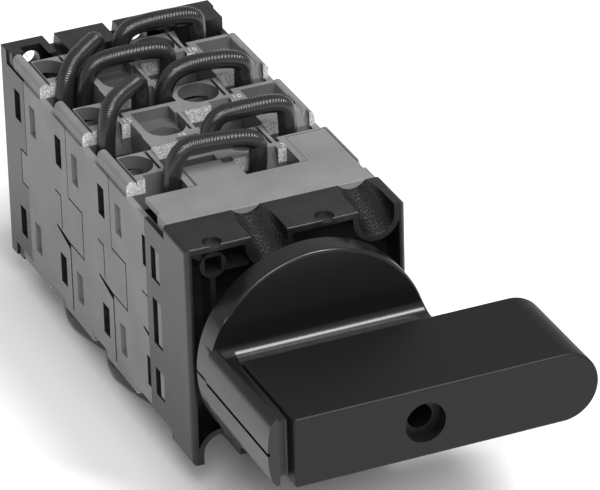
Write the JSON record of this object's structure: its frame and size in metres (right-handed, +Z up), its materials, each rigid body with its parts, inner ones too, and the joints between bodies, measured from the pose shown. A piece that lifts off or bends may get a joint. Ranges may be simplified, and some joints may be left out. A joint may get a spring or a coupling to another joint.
{
  "type": "changeover switch",
  "caption": "Cam-operated changeover switch: stacked terminal cells between a rear plate and a front frame, wire links across the deck, offset turning handle.",
  "frame": {"origin": "centre of the rear plate's back face, on the axis of the switch shaft", "axes": "+Y to the rear, out of the back face; the handle faces -Y; +Z up, the side with the wire links; +X to the right seen from the handle"},
  "size_m": [0.0661, 0.1366, 0.0611],
  "materials": {
    "grey_housing": "moulded, fine grain",
    "black_frame": "moulded, satin",
    "black_handle": "moulded, semi-gloss",
    "zinc_steel": "zinc plated",
    "spring_steel": "plain rolled strip",
    "contact_brass": "plain stamped",
    "white_acetal": "moulded, smooth",
    "wire_sheath": "extruded, smooth"
  },
  "bodies": {
    "housing": {"cell_housing_1": "grey_housing", "cell_housing_2": "grey_housing", "cell_housing_3": "grey_housing", "contact_springs_1_front": "spring_steel", "contact_springs_1_rear": "spring_steel", "contact_springs_2_front": "spring_steel", "contact_springs_2_rear": "spring_steel", "contact_springs_3_front": "spring_steel", "contact_springs_3_rear": "spring_steel", "detent_leaf_lower": "spring_steel", "detent_leaf_upper": "spring_steel", "fixed_contacts_1_front": "contact_brass", "fixed_contacts_1_rear": "contact_brass", "fixed_contacts_2_front": "contact_brass", "fixed_contacts_2_rear": "contact_brass", "fixed_contacts_3_front": "contact_brass", "fixed_contacts_3_rear": "contact_brass", "front_cover": "grey_housing", "front_frame": "black_frame", "rear_plate": "black_frame", "terminal_screws": "zinc_steel", "wire_link_bottom_front": "wire_sheath", "wire_link_bottom_rear": "wire_sheath", "wire_link_diagonal_2": "wire_sheath", "wire_link_diagonal_3": "wire_sheath", "wire_link_front_1": "wire_sheath", "wire_link_front_3": "wire_sheath", "wire_link_rear_1": "wire_sheath", "wire_link_rear_2": "wire_sheath", "wire_link_rear_3": "wire_sheath"},
    "rotor": {"cam_block_1": "white_acetal", "cam_block_2": "white_acetal", "cam_block_3": "white_acetal", "detent_star": "white_acetal", "handle": "black_handle", "switch_shaft": "zinc_steel"},
    "contact_1_front_left": {"contact_bridge_1_front_left": "contact_brass", "plunger_1_front_left": "white_acetal"},
    "contact_1_front_right": {"contact_bridge_1_front_right": "contact_brass", "plunger_1_front_right": "white_acetal"},
    "contact_1_rear_left": {"contact_bridge_1_rear_left": "contact_brass", "plunger_1_rear_left": "white_acetal"},
    "contact_1_rear_right": {"contact_bridge_1_rear_right": "contact_brass", "plunger_1_rear_right": "white_acetal"},
    "contact_2_front_left": {"contact_bridge_2_front_left": "contact_brass", "plunger_2_front_left": "white_acetal"},
    "contact_2_front_right": {"contact_bridge_2_front_right": "contact_brass", "plunger_2_front_right": "white_acetal"},
    "contact_2_rear_left": {"contact_bridge_2_rear_left": "contact_brass", "plunger_2_rear_left": "white_acetal"},
    "contact_2_rear_right": {"contact_bridge_2_rear_right": "contact_brass", "plunger_2_rear_right": "white_acetal"},
    "contact_3_front_left": {"contact_bridge_3_front_left": "contact_brass", "plunger_3_front_left": "white_acetal"},
    "contact_3_front_right": {"contact_bridge_3_front_right": "contact_brass", "plunger_3_front_right": "white_acetal"},
    "contact_3_rear_left": {"contact_bridge_3_rear_left": "contact_brass", "plunger_3_rear_left": "white_acetal"},
    "contact_3_rear_right": {"contact_bridge_3_rear_right": "contact_brass", "plunger_3_rear_right": "white_acetal"}
  },
  "joints": [
    {"name": "handle_turn", "type": "hinge", "parent": "housing", "child": "rotor", "pos_m": [0, 0, 0], "axis": [0, -1, 0], "range_deg": [-60, 60], "deforming": ["detent_leaf_upper", "detent_leaf_lower"]},
    {"name": "slide_1_front_left", "type": "slide", "parent": "housing", "child": "contact_1_front_left", "axis": [-1, 0, 0], "range_m": [-0.0012, 0.0012]},
    {"name": "slide_1_front_right", "type": "slide", "parent": "housing", "child": "contact_1_front_right", "axis": [1, 0, 0], "range_m": [-0.0012, 0.0012], "deforming": ["contact_springs_1_front"]},
    {"name": "slide_1_rear_left", "type": "slide", "parent": "housing", "child": "contact_1_rear_left", "axis": [-1, 0, 0], "range_m": [-0.0012, 0.0012]},
    {"name": "slide_1_rear_right", "type": "slide", "parent": "housing", "child": "contact_1_rear_right", "axis": [1, 0, 0], "range_m": [-0.0012, 0.0012], "deforming": ["contact_springs_1_rear"]},
    {"name": "slide_2_front_left", "type": "slide", "parent": "housing", "child": "contact_2_front_left", "axis": [-1, 0, 0], "range_m": [-0.0012, 0.0012]},
    {"name": "slide_2_front_right", "type": "slide", "parent": "housing", "child": "contact_2_front_right", "axis": [1, 0, 0], "range_m": [-0.0012, 0.0012], "deforming": ["contact_springs_2_front"]},
    {"name": "slide_2_rear_left", "type": "slide", "parent": "housing", "child": "contact_2_rear_left", "axis": [-1, 0, 0], "range_m": [-0.0012, 0.0012]},
    {"name": "slide_2_rear_right", "type": "slide", "parent": "housing", "child": "contact_2_rear_right", "axis": [1, 0, 0], "range_m": [-0.0012, 0.0012], "deforming": ["contact_springs_2_rear"]},
    {"name": "slide_3_front_left", "type": "slide", "parent": "housing", "child": "contact_3_front_left", "axis": [-1, 0, 0], "range_m": [-0.0012, 0.0012]},
    {"name": "slide_3_front_right", "type": "slide", "parent": "housing", "child": "contact_3_front_right", "axis": [1, 0, 0], "range_m": [-0.0012, 0.0012], "deforming": ["contact_springs_3_front"]},
    {"name": "slide_3_rear_left", "type": "slide", "parent": "housing", "child": "contact_3_rear_left", "axis": [-1, 0, 0], "range_m": [-0.0012, 0.0012]},
    {"name": "slide_3_rear_right", "type": "slide", "parent": "housing", "child": "contact_3_rear_right", "axis": [1, 0, 0], "range_m": [-0.0012, 0.0012], "deforming": ["contact_springs_3_rear"]}
  ],
  "couplings": [
    {"joint": "slide_1_front_left", "follows": "handle_turn", "m_per_rad": -0.0011459},
    {"joint": "slide_1_front_right", "follows": "handle_turn", "m_per_rad": -0.0011459},
    {"joint": "slide_1_rear_left", "follows": "handle_turn", "m_per_rad": 0.0011459},
    {"joint": "slide_1_rear_right", "follows": "handle_turn", "m_per_rad": 0.0011459},
    {"joint": "slide_2_front_left", "follows": "handle_turn", "m_per_rad": -0.0011459},
    {"joint": "slide_2_front_right", "follows": "handle_turn", "m_per_rad": -0.0011459},
    {"joint": "slide_2_rear_left", "follows": "handle_turn", "m_per_rad": 0.0011459},
    {"joint": "slide_2_rear_right", "follows": "handle_turn", "m_per_rad": 0.0011459},
    {"joint": "slide_3_front_left", "follows": "handle_turn", "m_per_rad": -0.0011459},
    {"joint": "slide_3_front_right", "follows": "handle_turn", "m_per_rad": -0.0011459},
    {"joint": "slide_3_rear_left", "follows": "handle_turn", "m_per_rad": 0.0011459},
    {"joint": "slide_3_rear_right", "follows": "handle_turn", "m_per_rad": 0.0011459}
  ]
}
